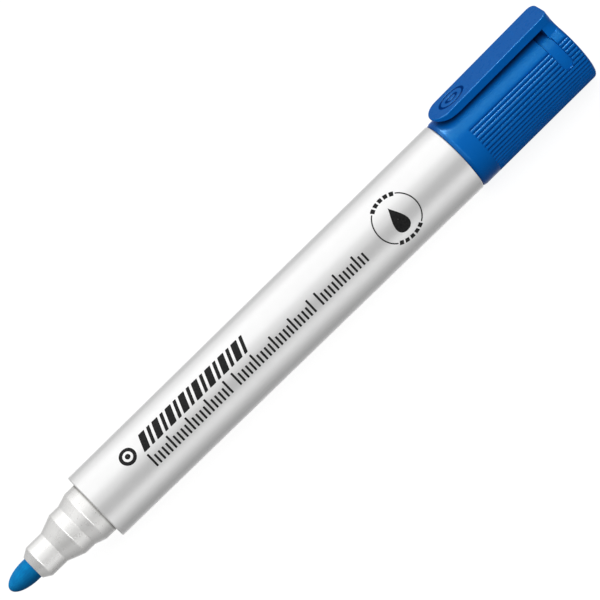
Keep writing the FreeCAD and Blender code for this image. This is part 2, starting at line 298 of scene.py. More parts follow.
def turned(name, corners, closed=False):
    """Piece turned about the axis. An open outline starts and ends on the axis."""
    angles = even_angles(ROUND_SEGMENTS)
    rings = [ring_at(x, r, angles) for x, r in rounded_path(corners, closed)]
    return mesh_object(name, *skin(rings, closed))


def joined(name, pieces):
    """One object from several, in order."""
    vertices = []
    faces = []
    for part_vertices, part_faces in pieces:
        start = len(vertices)
        vertices.extend(part_vertices)
        faces.extend([[start + i for i in face] for face in part_faces])
    return mesh_object(name, vertices, faces)


def drop_slivers(mesh):
    """Removes the faces without area that a union leaves along its seams."""
    draft = bmesh.new()
    draft.from_mesh(mesh)
    bmesh.ops.triangulate(draft, faces=[face for face in draft.faces if len(face.verts) > 4])
    bmesh.ops.remove_doubles(draft, verts=draft.verts, dist=SLIVER)
    bmesh.ops.dissolve_degenerate(draft, dist=SLIVER, edges=draft.edges)
    draft.to_mesh(mesh)
    draft.free()


def united(base, *others):
    """Boolean union of closed meshes into base; the others are removed."""
    for other in others:
        step = base.modifiers.new("union", "BOOLEAN")
        step.operation = "UNION"
        step.solver = "EXACT"
        step.object = other
    depsgraph = bpy.context.evaluated_depsgraph_get()
    depsgraph.update()
    mesh = bpy.data.meshes.new_from_object(base.evaluated_get(depsgraph))
    base.modifiers.clear()
    base.data = mesh
    drop_slivers(mesh)
    for other in others:
        bpy.data.objects.remove(other)
    return base


# ---------------------------------------------------------------- pieces of the marker's body


def barrel_radius(x):
    """Radius of the barrel's tapered outside."""
    return BARREL_FRONT_R + (BARREL_REAR_R - BARREL_FRONT_R) * x / BARREL_END_X


def make_barrel():
    """Tapered tube with small rounded edges at both ends."""
    return turned("barrel_tube", [
        (0, NOSE_PLUG_R + FIT_GAP),
        (0, BARREL_FRONT_R, BARREL_EDGE_ROUND),
        (BARREL_END_X, BARREL_REAR_R, BARREL_EDGE_ROUND),
        (BARREL_END_X, PLUG_SEAT_R + FIT_GAP),
        (PLUG_START_X, PLUG_SEAT_R + FIT_GAP),
        (PLUG_START_X, BARREL_BORE_R),
        (NOSE_PLUG_END_X, BARREL_BORE_R),
        (NOSE_PLUG_END_X, NOSE_PLUG_R + FIT_GAP),
    ], closed=True)


def make_nose():
    """Stepped nose: three straight tiers with cones between them, and the plug that goes into the barrel."""
    bore_r = NIB_R + FIT_GAP
    tier_2_end = -(COLLAR_LENGTH + COLLAR_CONE_LENGTH)
    tier_2_start = tier_2_end - TIER_2_LENGTH
    tier_1_end = tier_2_start - TIER_CONE_LENGTH
    tier_1_start = tier_1_end - TIER_1_LENGTH
    return turned("nose_tiers", [
        (NOSE_TIP_X, bore_r),
        (NOSE_TIP_X, NOSE_TIP_R, NOSE_TIP_ROUND),
        (tier_1_start, TIER_1_R, TIER_EDGE_ROUND),
        (tier_1_end, TIER_1_R, TIER_FOOT_ROUND),
        (tier_2_start, TIER_2_R, TIER_EDGE_ROUND),
        (tier_2_end, TIER_2_R, TIER_FOOT_ROUND),
        (-COLLAR_LENGTH, COLLAR_R, TIER_EDGE_ROUND),
        (COLLAR_OVERLAP, COLLAR_R),
        (COLLAR_OVERLAP, NOSE_PLUG_R),
        (NOSE_PLUG_END_X, NOSE_PLUG_R, NOSE_PLUG_ROUND),
        (NOSE_PLUG_END_X, bore_r),
    ], closed=True)


def make_nib():
    """Bullet-shaped point on a round stem."""
    rings = []
    angles = even_angles(ROUND_SEGMENTS)
    shoulder_x = NIB_POINT_X + NIB_POINT_LENGTH
    steps = 40
    for k in range(steps + 1):
        turn = math.pi / 2 * k / steps
        x = shoulder_x - NIB_POINT_LENGTH * math.cos(turn)
        rings.append(ring_at(x, NIB_R * math.sin(turn), angles))
    rings.append(ring_at(shoulder_x + SUPPORT, NIB_R, angles))
    rings.append(ring_at(NIB_TAIL_X - NIB_TAIL_BEVEL, NIB_R, angles))
    rings.append(ring_at(NIB_TAIL_X, NIB_R - NIB_TAIL_BEVEL, angles))
    rings.append(ring_at(NIB_TAIL_X, 0, angles))
    return mesh_object("nib_point", *skin(rings))


def make_rear_plug():
    """Hollow plug with the collar that the cap grips."""
    neck_x = BARREL_END_X + PLUG_COLLAR_LENGTH
    return turned("rear_plug_collar", [
        (PLUG_END_X, 0),
        (PLUG_END_X, PLUG_NECK_R, PLUG_END_ROUND),
        (neck_x + PLUG_COLLAR_RAMP, PLUG_NECK_R, SMALL_ROUND),
        (neck_x, PLUG_COLLAR_R, FINE_ROUND),
        (BARREL_END_X, PLUG_COLLAR_R),
        (BARREL_END_X, PLUG_SEAT_R),
        (PLUG_START_X, PLUG_SEAT_R, SMALL_ROUND),
        (PLUG_START_X, PLUG_SEAT_R - PLUG_WALL),
        (BARREL_END_X - PLUG_WALL, PLUG_SEAT_R - PLUG_WALL),
        (BARREL_END_X - PLUG_WALL, PLUG_NECK_R - PLUG_WALL),
        (PLUG_END_X - PLUG_WALL, PLUG_NECK_R - PLUG_WALL),
        (PLUG_END_X - PLUG_WALL, 0),
    ])


# ---------------------------------------------------------------- cap


def cap_radius(x):
    """Radius of the cap's tapered outside, without grooves."""
    start_x = CAP_RIM_X + CAP_RIM_BEVEL
    return CAP_OPEN_R + (CAP_CLOSED_R - CAP_OPEN_R) * (x - start_x) / (CAP_END_X - start_x)


def groove_angles():
    """Angle of the middle of each groove, evenly over everything but the smooth zone."""
    step = (2 * math.pi - 2 * SMOOTH_HALF_ANGLE) / (GROOVE_COUNT - 1)
    return [SMOOTH_HALF_ANGLE + step * i for i in range(GROOVE_COUNT)]


def cap_angles():
    """Angles of the cap's mesh: close together across the grooves, wider apart in the smooth zone."""
    centres = groove_angles()
    step = centres[1] - centres[0]
    per_groove = 14
    fine_start = centres[0] - step / 2
    fine = [fine_start + step * k / per_groove for k in range(per_groove * GROOVE_COUNT + 1)]
    smooth_count = 56
    gap = 2 * math.pi - (fine[-1] - fine[0])
    smooth = [fine[-1] + gap * k / smooth_count for k in range(1, smooth_count)]
    return np.array(fine + smooth)


def cap_stations():
    """Distances along the axis at which the cap's wall gets a ring of points, closed end first.

    They stand close together where the grooves run out and across the band.
    """
    wall_end = CAP_END_X - CAP_END_ROUND
    run_out = np.arange(GROOVE_START_X - 0.5, GROOVE_START_X + 0.3, 0.05)
    band = np.arange(BAND_X - BAND_EDGE_WIDTH, BAND_X + BAND_WIDTH + BAND_EDGE_WIDTH, 0.06)
    coarse = np.arange(CAP_RIM_X + CAP_RIM_BEVEL + 0.5, wall_end - 0.1, 1.6)
    stations = sorted(set(np.round(np.concatenate([run_out, band, coarse]), 4)))
    closest = 0.03
    kept = [stations[0]]
    for x in stations[1:]:
        if x - kept[-1] > closest:
            kept.append(x)
    return kept[::-1]


def cap_wall_radii(x, base_r, angles):
    """Radius of the cap's outside at each angle, after the grooves and the recessed band are cut."""
    taper_r = cap_radius(x)
    centres = np.array(groove_angles())
    half_pitch = (centres[1] - centres[0]) * taper_r / 2
    offset = (angles[:, None] - centres[None, :] + math.pi) % (2 * math.pi) - math.pi
    sideways = np.abs(offset).min(axis=1) * taper_r
    before_start = max(0.0, GROOVE_START_X - x)
    from_middle = np.clip(np.hypot(sideways, before_start) / half_pitch, 0, 1)
    cut = taper_r - GROOVE_DEPTH * (1 - from_middle) ** RIB_ROUNDNESS
    radii = np.minimum(np.full(len(angles), base_r), cut)
    signed = (angles + math.pi) % (2 * math.pi) - math.pi
    end_r = BAND_WIDTH / 2
    band_half = BAND_HALF_ANGLE * taper_r - end_r
    beyond = np.clip(np.abs(signed) * taper_r - band_half, 0, None)
    from_edge = np.hypot(beyond, x - BAND_X - end_r) - end_r
    share = np.clip(0.5 - from_edge / BAND_EDGE_WIDTH, 0, 1)
    depth = BAND_DEPTH * share * share * (3 - 2 * share)
    return np.minimum(radii, taper_r - depth) if depth.max() > 0 else radii


def cap_cup():
    """Ribbed cup of the cap as vertices and faces, from the end face's centre round to the inner floor's."""
    angles = cap_angles()
    wall_end = CAP_END_X - CAP_END_ROUND
    flat_r = CAP_CLOSED_R - CAP_END_ROUND
    rings = [ring_at(CAP_END_X, 0, angles)]
    for r in (3.0, flat_r - 0.6, flat_r - SUPPORT):
        rings.append(ring_at(CAP_END_X, r, angles))
    steps = 12
    for k in range(steps + 1):
        turn = math.pi / 2 * k / steps
        x = wall_end + CAP_END_ROUND * math.cos(turn)
        base_r = CAP_CLOSED_R - CAP_END_ROUND * (1 - math.sin(turn))
        radii = cap_wall_radii(x, base_r, angles)
        rings.append([on_round(x, r, a) for r, a in zip(radii, angles)])
    for x in cap_stations():
        radii = cap_wall_radii(x, cap_radius(x), angles)
        rings.append([on_round(x, r, a) for r, a in zip(radii, angles)])
    first_x = CAP_RIM_X + CAP_RIM_BEVEL + 0.25
    inside = rounded_path([
        (first_x, cap_radius(first_x)),
        (CAP_RIM_X + CAP_RIM_BEVEL, CAP_OPEN_R, CAP_BEVEL_ROUND),
        (CAP_RIM_X, CAP_RIM_R, 0.12),
        (CAP_RIM_X, CAP_BORE_R, FINE_ROUND),
        (LINER_END_X + 0.05, CAP_BORE_R),
        (LINER_END_X + 0.05, CAP_END_BORE_R),
        (CAP_END_X - CAP_END_WALL, CAP_END_BORE_R, CAP_FLOOR_ROUND),
        (CAP_END_X - CAP_END_WALL, 0),
    ])
    rings.extend(ring_at(p[0], p[1], angles) for p in inside)
    return skin(rings)


def clip_outline_distance(x, y, inset):
    """Signed distance to the clip's outline seen from above, moved in by inset."""
    half = CLIP_WIDTH / 2 - inset
    tip_centre = CLIP_TIP_X + CLIP_WIDTH / 2
    if x < tip_centre:
        return math.hypot(x - tip_centre, y) - half
    round_r = max(CLIP_CORNER_ROUND - inset, 0.02)
    dx = x - (CAP_END_X - inset - round_r)
    dy = abs(y) - (half - round_r)
    outside = math.hypot(max(dx, 0), max(dy, 0))
    return outside + min(max(dx, dy), 0) - round_r


def clip_outline_point(centre_x, angle, inset):
    """Where a ray from (centre_x, 0) meets the clip's outline."""
    near = 0.0
    far = 2 * (CAP_END_X - CLIP_TIP_X)
    halvings = 40
    for _ in range(halvings):
        middle = (near + far) / 2
        x = centre_x + middle * math.cos(angle)
        if clip_outline_distance(x, middle * math.sin(angle), inset) < 0:
            near = middle
        else:
            far = middle
    return centre_x + near * math.cos(angle), near * math.sin(angle)


def clip_ray_angles(centre_x):
    """Even rays, with more of them towards the small corners at the clip's root."""
    rays = set(round(a, 6) for a in even_angles(120))
    corner_x = CAP_END_X - CLIP_CORNER_ROUND
    corner_y = CLIP_WIDTH / 2 - CLIP_CORNER_ROUND
    for k in range(CORNER_STEPS + 1):
        turn = math.pi / 2 * k / CORNER_STEPS
        x = corner_x + CLIP_CORNER_ROUND * math.cos(turn)
        y = corner_y + CLIP_CORNER_ROUND * math.sin(turn)
        ray = math.atan2(y, x - centre_x)
        rays.add(round(ray, 6))
        rays.add(round(2 * math.pi - ray, 6))
    return sorted(rays)


def clip_plate():
    """Tongue of the clip: flat face with two engraved ovals, rounded edges and a tapering thickness."""
    rays = clip_ray_angles(OVAL_X)
    length = CAP_END_X - CLIP_TIP_X

    def top_z(x):
        return CLIP_TIP_TOP + (CLIP_ROOT_TOP - CLIP_TIP_TOP) * (x - CLIP_TIP_X) / length

    def under_z(x):
        tip = CLIP_TIP_TOP - CLIP_TIP_THICKNESS
        root = CLIP_ROOT_TOP - CLIP_ROOT_THICKNESS
        from_lead_in = max(0.0, 1 - (x - CLIP_TIP_X) / CLIP_LEAD_IN)
        return tip + (root - tip) * (x - CLIP_TIP_X) / length + CLIP_LEAD_RISE * from_lead_in**2

    rings = [[(OVAL_X, 0, top_z(OVAL_X))]]
    line_half = 0.3
    line_steps = 3
    for oval_long, oval_short in OVALS:
        for k in range(-line_steps - 1, line_steps + 2):
            aside = line_half * k / line_steps
            depth = OVAL_DEPTH * (0.5 + 0.5 * math.cos(math.pi * min(abs(k) / line_steps, 1)))
            ring = []
            for a in rays:
                x = OVAL_X + (oval_long + aside) * math.cos(a)
                ring.append((x, (oval_short + aside) * math.sin(a), top_z(x) - depth))
            rings.append(ring)
    support = 0.06
    rows = [(CLIP_EDGE_ROUND + support, 0.0)]
    for k in range(ARC_STEPS + 1):
        turn = math.pi / 2 * k / ARC_STEPS
        rows.append((CLIP_EDGE_ROUND * (1 - math.sin(turn)), CLIP_EDGE_ROUND * (1 - math.cos(turn))))
    rows.append((0.0, CLIP_EDGE_ROUND + support))
    for inset, drop in rows:
        outline = [clip_outline_point(OVAL_X, a, inset) for a in rays]
        rings.append([(x, y, top_z(x) - drop) for x, y in outline])
    for inset, drop in reversed(rows):
        outline = [clip_outline_point(OVAL_X, a, inset) for a in rays]
        rings.append([(x, y, under_z(x) + drop) for x, y in outline])
    for share in (0.85, 0.7, 0.55, 0.4, 0.25, 0.1):
        ring = []
        for x, y in outline:
            inner_x = OVAL_X + share * (x - OVAL_X)
            ring.append((inner_x, share * y, under_z(inner_x)))
        rings.append(ring)
    rings.append([(OVAL_X, 0, under_z(OVAL_X))])
    return skin(rings)


def leg_outline(half):
    """Outline of the leg seen from above, square towards the tip and rounded at the cap's end."""
    start_x = CAP_END_X - LEG_LENGTH
    end_x = CAP_END_X - 0.02
    radius = CLIP_CORNER_ROUND
    outline = [(start_x, half * share) for share in np.linspace(-1, 1, 25)]
    corner = [math.pi / 2 * k / CORNER_STEPS for k in range(CORNER_STEPS + 1)]
    for a in reversed(corner):
        outline.append((end_x - radius + radius * math.cos(a), half - radius + radius * math.sin(a)))
    outline.extend((end_x, (half - radius) * share) for share in np.linspace(0.9, -0.9, 15))
    for a in corner:
        outline.append((end_x - radius + radius * math.cos(a), radius - half - radius * math.sin(a)))
    return outline


def clip_leg():
    """Root of the clip, flaring out where it meets the cap's round wall."""
    overlap = 0.6
    top_z = CLIP_ROOT_TOP - overlap
    buried_r = CAP_CLOSED_R - overlap
    straight_half = CLIP_WIDTH / 2 - 0.01
    flare_from = 0.28
    flare_end = 0.97
    levels = 22
    rings = []
    for level in range(levels + 1):
        share = level / levels
        flare = max(0.0, (share - flare_from) / (1 - flare_from)) * flare_end
        half = straight_half + (LEG_FOOT_HALF_WIDTH - straight_half) * (1 - math.sqrt(1 - flare**2))
        ring = []
        for x, y in leg_outline(half):
            buried_z = math.sqrt(buried_r**2 - y**2)
            ring.append((x, y, top_z + (buried_z - top_z) * share))
        rings.append(ring)
    middle_x = CAP_END_X - LEG_LENGTH / 2
    rings.insert(0, [(middle_x, 0, top_z)])
    rings.append([(middle_x, 0, buried_r)])
    return skin(rings)


def make_cap_shell():
    """Cap with its clip moulded on, as one closed mesh."""
    cup = mesh_object("cap_cup_with_clip", *cap_cup())
    plate = mesh_object("clip_plate", *clip_plate())
    leg = mesh_object("clip_leg", *clip_leg())
    shell = united(cup, leg, plate)
    shade(shell.data, CAP_SMOOTH_ANGLE)
    return shell


def make_cap_liner():
    """Inner cup that seals on either collar."""
    mouth_r = COLLAR_R + FIT_GAP
    step_x = LINER_MOUTH_X + LINER_MOUTH_LENGTH
    toe_x = PLUG_END_X + LINER_TOE_LENGTH
    return turned("cap_inner_cup", [
        (LINER_END_X, 0),
        (LINER_END_X, LINER_TOE_R + LINER_WALL, 1.0),
        (toe_x, LINER_BODY_R, MIDDLE_ROUND),
        (step_x + 1.0, LINER_BODY_R),
        (step_x + 0.5, LINER_GUIDE_R),
        (LINER_MOUTH_X, LINER_GUIDE_R, SMALL_ROUND),
        (LINER_MOUTH_X, mouth_r, FINE_ROUND),
        (step_x - 0.2, mouth_r),
        (step_x, LINER_INNER_R),
        (toe_x, LINER_INNER_R, MIDDLE_ROUND),
        (LINER_END_X - LINER_WALL, LINER_TOE_R, 0.6),
        (LINER_END_X - LINER_WALL, 0),
    ])


# ---------------------------------------------------------------- print on the barrel

INK_ABOVE = 0.018
INK_BELOW = 0.06
INK_STEP = 0.4

HEADING_ANGLE = math.radians(39.0)
SIGN_X = 10.9
SIGN_DOT_R = 0.55
SIGN_RING_R = 1.05
SIGN_OUTER_R = 1.75
# The dot is a ring round a hole too small to be seen
SIGN_PINHOLE_R = 0.02
STRIPES_X = 14.4
STRIPE_PAIRS = 8
STRIPE_LENGTHS = (1.5, 0.75)
STRIPE_GAP = 0.6
STRIPE_HEIGHT = 3.4
STRIPE_CORNER = 0.12
STRIPE_SLANT = 0.4

LINE_ANGLE = math.radians(77.0)
# Where each group of ticks starts and ends
TICK_GROUPS = ((13.6, 33.9), (35.4, 55.3), (57.0, 69.2))
TICK_PITCH = 0.98
TICK_LENGTH = 0.42
TICK_CORNER = 0.1
TALL_TICK = 3.0
SHORT_TICK = 2.1
TICKS_PER_TALL = 5
# How far round the barrel the ticks' lower ends lie from LINE_ANGLE
TICKS_BOTTOM = 0.3

BADGE_ANGLE = math.radians(63.9)
BADGE_X = 78.4
BADGE_INNER_R = 4.75
BADGE_OUTER_R = 5.0
DROP_SIZE = 2.3
DASH_R = 4.85
DASH_HALF_WIDTH = 0.45
# Angles of half the badge's ring, of a dash, and from one dash to the next
RING_TURN = 1.8
DASH_TURN = 0.18
DASH_PITCH = 0.26


def print_patch(place, steps_u, steps_v, loops=False):
    """Thin closed plate of ink on the barrel. place(u, v) gives (x, angle) for u and v from 0 to 1."""
    columns = steps_u if loops else steps_u + 1
    vertices = []
    for lift in (INK_ABOVE, -INK_BELOW):
        for i in range(columns):
            for j in range(steps_v + 1):
                x, angle = place(i / steps_u, j / steps_v)
                vertices.append(on_round(x, barrel_radius(x) + lift, angle))
    rows = steps_v + 1
    layer = columns * rows
    faces = []

    def corner(i, j, under=0):
        return under * layer + (i % columns) * rows + j

    for i in range(steps_u):
        for j in range(steps_v):
            top = [corner(i, j), corner(i + 1, j), corner(i + 1, j + 1), corner(i, j + 1)]
            faces.append(top)
            faces.append([c + layer for c in reversed(top)])
        for j in (0, steps_v):
            faces.append([corner(i, j), corner(i + 1, j), corner(i + 1, j, 1), corner(i, j, 1)])
    if not loops:
        for i in (0, steps_u):
            for j in range(steps_v):
                faces.append([corner(i, j), corner(i, j + 1), corner(i, j + 1, 1), corner(i, j, 1)])
    return vertices, faces


def arc_angle(x, base_angle, distance):
    """Angle reached by going a distance round the barrel from base_angle."""
    return base_angle + distance / barrel_radius(x)


def bar(start_x, length, angle, height, corner, slant=0.0):
    """Bar with rounded corners; slant leans it, in millimetres of length per millimetre of height."""

    def place(u, v):
        eased = 0.5 - 0.5 * math.cos(math.pi * u)
        along = length * eased
        from_end = min(along, length - along)
        missing = max(corner - from_end, 0.0)
        half = height / 2 - corner + math.sqrt(max(corner**2 - missing**2, 0.0))
        half = max(half, 0.002)
        distance = half * (2 * v - 1)
        x = start_x + along - slant * distance
        return x, arc_angle(x, angle, distance)

    return print_patch(place, 12, max(2, math.ceil(height / INK_STEP)))


def ring_arc(centre_x, angle, inner_r, outer_r, start, sweep):
    """Part of a flat ring, drawn from start through sweep; a full turn closes on itself."""
    full = abs(sweep - 2 * math.pi) < 1e-6

    def place(u, v):
        turn = start + sweep * u
        r = inner_r + (outer_r - inner_r) * v
        x = centre_x + r * math.cos(turn)
        return x, arc_angle(x, angle, r * math.sin(turn))

    steps_u = max(8, math.ceil(sweep * outer_r / 0.25))
    steps_v = max(1, math.ceil((outer_r - inner_r) / INK_STEP))
    return print_patch(place, steps_u, steps_v, full)


def ink_drop(centre_x, angle, size):
    """Ink drop round a hole too small to be seen, with its point towards the clip's side."""
    pinhole = 0.02
    sharpness = 1.6
    least = 0.01

    def place(u, v):
        turn = 2 * math.pi * u
        scale = size * (pinhole + (1 - pinhole) * v)
        narrow = math.sin(turn / 2) ** sharpness + least
        x = centre_x + scale * math.sin(turn) * narrow
        return x, arc_angle(x, angle, -scale * 1.25 * math.cos(turn) + size * 0.1)

    return print_patch(place, 64, 5, True)


def make_heading():
    """Row of slanting stripes, wide and narrow in turn, after a small round sign."""
    parts = [
        ring_arc(SIGN_X, HEADING_ANGLE, SIGN_RING_R, SIGN_OUTER_R, 0, 2 * math.pi),
        ring_arc(SIGN_X, HEADING_ANGLE, SIGN_PINHOLE_R, SIGN_DOT_R, 0, 2 * math.pi),
    ]
    x = STRIPES_X
    for _ in range(STRIPE_PAIRS):
        for length in STRIPE_LENGTHS:
            parts.append(bar(x, length, HEADING_ANGLE, STRIPE_HEIGHT, STRIPE_CORNER, STRIPE_SLANT))
            x += length + STRIPE_GAP
    return joined("print_heading", parts)


def make_line():
    """Three groups of fine upright ticks with their lower ends level, every fifth one tall, like a scale."""
    parts = []
    for start_x, end_x in TICK_GROUPS:
        for k in range(int((end_x - start_x) / TICK_PITCH) + 1):
            height = TALL_TICK if k % TICKS_PER_TALL == 0 else SHORT_TICK
            middle = arc_angle(start_x, LINE_ANGLE, TICKS_BOTTOM - height / 2)
            parts.append(bar(start_x + k * TICK_PITCH, TICK_LENGTH, middle, height, TICK_CORNER))
    return joined("print_line", parts)


def make_badge():
    """Round badge: broken ring with dashes across its gaps and an ink drop in the middle."""
    parts = [ink_drop(BADGE_X, BADGE_ANGLE, DROP_SIZE)]
    for centre in (0.0, math.pi):
        start = centre - RING_TURN / 2
        parts.append(ring_arc(BADGE_X, BADGE_ANGLE, BADGE_INNER_R, BADGE_OUTER_R, start, RING_TURN))
    inner_r = DASH_R - DASH_HALF_WIDTH
    outer_r = DASH_R + DASH_HALF_WIDTH
    for centre in (math.pi / 2, 3 * math.pi / 2):
        for k in range(-2, 3):
            start = centre + k * DASH_PITCH - DASH_TURN / 2
            parts.append(ring_arc(BADGE_X, BADGE_ANGLE, inner_r, outer_r, start, DASH_TURN))
    return joined("print_badge", parts)


# ---------------------------------------------------------------- materials


class Nodes:
    """Small helper that adds and joins shader nodes."""

    def __init__(self, tree):
        self.tree = tree

    def add(self, kind, inputs=None, **settings):
        """New node with the given settings and inputs."""
        made = self.tree.nodes.new(kind)
        for key, value in settings.items():
            setattr(made, key, value)
        for key, value in (inputs or {}).items():
            self.give(made.inputs[key], value)
        return made

    def give(self, socket, value):
        """Links another node's output to a socket, or sets a plain value."""
        if isinstance(value, bpy.types.NodeSocket):
            self.tree.links.new(value, socket)
        else:
            socket.default_value = value


def new_material(name):
    """Empty node material, and the helper that fills it."""
    material = bpy.data.materials.new(name)
    material.use_nodes = True
    material.node_tree.nodes.clear()
    return material, Nodes(material.node_tree)


def noise(nodes, scale, detail, stretch=(1, 1, 1), roughness=0.5):
    """Noise over the piece's own coordinates; scale is in features per metre."""
    place = nodes.add("ShaderNodeTexCoord")
    sized = nodes.add("ShaderNodeMapping", {"Vector": place.outputs["Object"], "Scale": stretch})
    made = nodes.add("ShaderNodeTexNoise", {
        "Vector": sized.outputs["Vector"], "Scale": scale, "Detail": detail, "Roughness": roughness,
    })
    return made.outputs["Fac"]


def spread(nodes, value, low, high, from_low=0.3, from_high=0.7):
    """Value between from_low and from_high, stretched to low..high and held there beyond them.

    The usual limits suit noise, which seldom leaves them.
    """
    made = nodes.add("ShaderNodeMapRange", {
        "Value": value, "From Min": from_low, "From Max": from_high, "To Min": low, "To Max": high,
    })
    return made.outputs["Result"]


def mixed(nodes, share, first, second):
    """Colour between two colours, each three numbers or another node's output."""
    made = nodes.add("ShaderNodeMix", data_type="RGBA")
    nodes.give(made.inputs["Factor"], share)
    for socket, colour in ((made.inputs[6], first), (made.inputs[7], second)):
        nodes.give(socket, (*colour, 1.0) if isinstance(colour, tuple) else colour)
    return made.outputs[2]


def place_of(nodes):
    """X, Y and Z of the piece's own coordinates, in metres."""
    place = nodes.add("ShaderNodeTexCoord").outputs["Object"]
    return nodes.add("ShaderNodeSeparateXYZ", {"Vector": place}).outputs


def calc(nodes, operation, *values):
    """Result of one arithmetic operation."""
    made = nodes.add("ShaderNodeMath", dict(enumerate(values)), operation=operation)
    return made.outputs["Value"]


def length_of(nodes, first, second):
    """Length of the diagonal across two lengths at right angles."""
    squares = [calc(nodes, "POWER", side, 2.0) for side in (first, second)]
    return calc(nodes, "SQRT", calc(nodes, "ADD", *squares))


def openness(nodes, reach_mm):
    """1 on open surfaces, towards 0 in crevices and next to other pieces."""
    made = nodes.add("ShaderNodeAmbientOcclusion", {"Distance": reach_mm * MM}, samples=12)
    return made.outputs["AO"]


def slant(nodes):
    """0 where the surface faces the viewer, 1 where it is seen edge-on."""
    return nodes.add("ShaderNodeLayerWeight", {"Blend": 0.5}).outputs["Facing"]


def bumped(nodes, height, strength, distance_mm):
    """Normal of a surface with fine relief."""
    made = nodes.add("ShaderNodeBump", {"Height": height, "Strength": strength, "Distance": distance_mm * MM})
    return made.outputs["Normal"]


def finish_material(nodes, settings):
    """Principled surface with the given inputs."""
    surface = nodes.add("ShaderNodeBsdfPrincipled", settings)
    output = nodes.add("ShaderNodeOutputMaterial")
    nodes.tree.links.new(surface.outputs["BSDF"], output.inputs["Surface"])


def barrel_plastic():
    """Satin white plastic with a pearl lustre: faint cloudiness, fine moulded texture."""
    material, nodes = new_material("satin_white_plastic")
    cloud = noise(nodes, 90, 3)
    grain = noise(nodes, 5200, 3)
    finish_material(nodes, {
        "Base Color": mixed(nodes, spread(nodes, cloud, 0, 1), (0.85, 0.85, 0.85), (0.87, 0.87, 0.868)),
        "Metallic": 0.35,
        "Roughness": spread(nodes, noise(nodes, 700, 3), 0.28, 0.33),
        "IOR": 1.5,
        "Normal": bumped(nodes, grain, 0.12, 0.012),
    })
    return material


def nose_plastic():
    """Natural off-white plastic, with painted shade in a dark line where it meets the barrel's shoulder."""
    material, nodes = new_material("natural_plastic")
    cloud = noise(nodes, 160, 3)
    plain = mixed(nodes, spread(nodes, cloud, 0, 1), (0.87, 0.865, 0.85), (0.9, 0.895, 0.885))
    # Painted shade: a dark line in the colour over the last half millimetre of the collar, where it meets the
    # barrel's shoulder.
    shoulder_shade_share = spread(nodes, place_of(nodes)["X"], 0, 1, -0.45 * MM, -0.05 * MM)
    finish_material(nodes, {
        "Base Color": mixed(nodes, shoulder_shade_share, plain, (0.32, 0.31, 0.29)),
        "Metallic": 0.3,
        "Roughness": spread(nodes, noise(nodes, 900, 3), 0.26, 0.32),
        "IOR": 1.5,
        "Normal": bumped(nodes, noise(nodes, 1300, 2), 0.05, 0.01),
    })
    return material


def engraved_share(nodes, place):
    """1 in the engraved lines of the clip's ovals, 0 elsewhere."""
    along = calc(nodes, "SUBTRACT", place["X"], OVAL_X * MM)
    lines = []
    for oval_long, oval_short in OVALS:
        x_share = calc(nodes, "ABSOLUTE", calc(nodes, "DIVIDE", along, oval_long * MM))
        y_share = calc(nodes, "ABSOLUTE", calc(nodes, "DIVIDE", place["Y"], oval_short * MM))
        size = length_of(nodes, x_share, y_share)
        away = calc(nodes, "ABSOLUTE", calc(nodes, "SUBTRACT", size, 1.0))
        half_line = 0.33 / (oval_long + oval_short)
        lines.append(spread(nodes, away, 1, 0, half_line, 2 * half_line))
    on_clip = spread(nodes, place["Z"], 0, 1, 0.99 * CAP_OPEN_R * MM, CAP_OPEN_R * MM)
    return calc(nodes, "MULTIPLY", calc(nodes, "MAXIMUM", *lines), on_clip)


def blue_plastic():
    """Satin blue plastic with painted shade: darker at a slant, in the grooves, in the engraved ovals and in
    crevices such as under the clip.
    """
    material, nodes = new_material("satin_blue_plastic")
    cloud = noise(nodes, 130, 3)
    plain = mixed(nodes, spread(nodes, cloud, 0, 1), (0.001, 0.155, 0.61), (0.002, 0.172, 0.65))
    # Painted shade: darker colour where the surface is seen edge-on.
    slant_shaded = mixed(nodes, spread(nodes, slant(nodes), 0, 1, 0.05, 0.5), plain, (0.001, 0.115, 0.47))
    place = place_of(nodes)
    # Painted shade in the grooves: the colour darkens with depth below the ribs, and the deeper band is left
    # out.
    across = length_of(nodes, place["Y"], place["Z"])
    wall_r = spread(nodes, place["X"], CAP_OPEN_R * MM, CAP_CLOSED_R * MM, CAP_RIM_X * MM, CAP_END_X * MM)
    depth = calc(nodes, "SUBTRACT", wall_r, across)
    below_rib = spread(nodes, depth, 0, 0.6, 0, GROOVE_DEPTH * MM)
    above_band = spread(nodes, depth, 0.6, 0, (GROOVE_DEPTH + 0.01) * MM, (BAND_DEPTH - 0.02) * MM)
    groove_shade_share = calc(nodes, "MINIMUM", below_rib, above_band)
    groove_shaded = mixed(nodes, groove_shade_share, slant_shaded, (0.001, 0.04, 0.22))
    engraved = engraved_share(nodes, place)
    # Painted shade in the engraved lines of the clip's ovals.
    engraving_shaded = mixed(nodes, engraved, groove_shaded, (0.001, 0.035, 0.2))
    # Painted shade in crevices, next to other pieces and under the clip, from ambient occlusion.
    unshaded_share = spread(nodes, openness(nodes, 3.0), 0, 1, 0.2, 0.65)
    finish_material(nodes, {
        "Base Color": mixed(nodes, unshaded_share, (0.004, 0.025, 0.12), engraving_shaded),
        "Roughness": spread(nodes, noise(nodes, 900, 3), 0.26, 0.31),
        "IOR": 1.5,
        "Specular IOR Level": spread(nodes, engraved, 0.04, 0.002, 0, 0.5),
        "Specular Tint": (0.5, 0.8, 1.0, 1.0),
        "Normal": bumped(nodes, noise(nodes, 3600, 3), 0.025, 0.01),
    })
    return material


